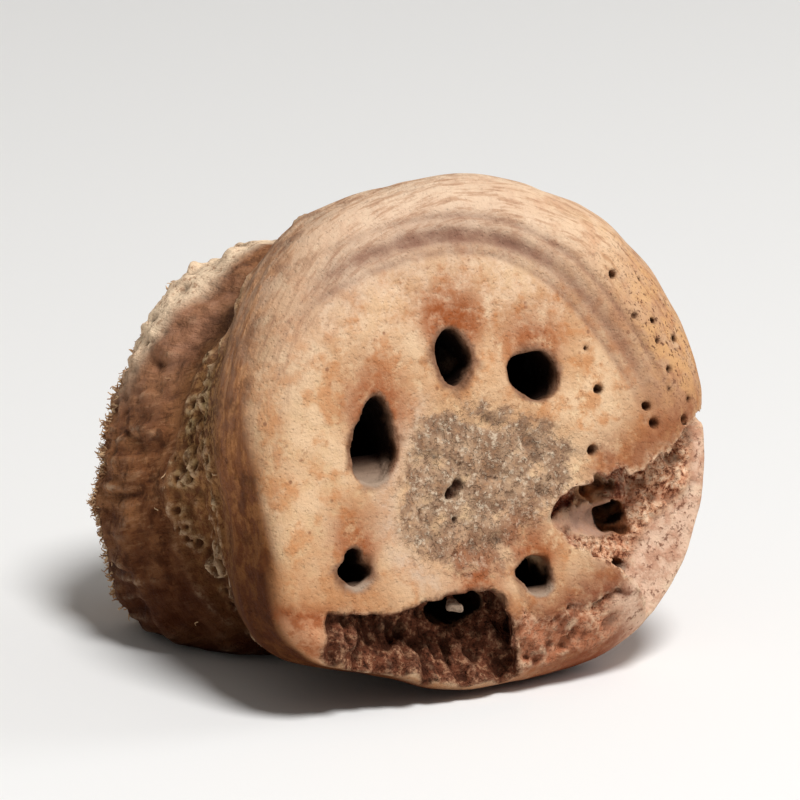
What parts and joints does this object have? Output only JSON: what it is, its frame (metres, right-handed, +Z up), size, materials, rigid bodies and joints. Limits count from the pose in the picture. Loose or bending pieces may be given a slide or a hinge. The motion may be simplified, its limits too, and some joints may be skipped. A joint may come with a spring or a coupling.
{
  "type": "dried lotus root node",
  "caption": "Short joint of a dried lotus rhizome lying on its side: a waisted drum, cut at both ends, pierced by a ring of tapering air canals, its front edge crumbled low on the right.",
  "frame": {"origin": "middle of the part's box, at the surface that it lies on", "axes": "+Z up; the neat front cut with the small canal mouths faces -Y and leans back a little; the rhizome's axis runs back along +Y and slopes down; +X to the right as the front cut is faced"},
  "size_m": [0.0328, 0.031, 0.0303],
  "materials": {
    "dried_rhizome": "matt, dry and fibrous: tan cut face, grey-beige spongy pith, red-brown rind, near-black canals"
  },
  "bodies": {
    "root": {"lotus_root_node": "dried_rhizome"}
  },
  "joints": []
}
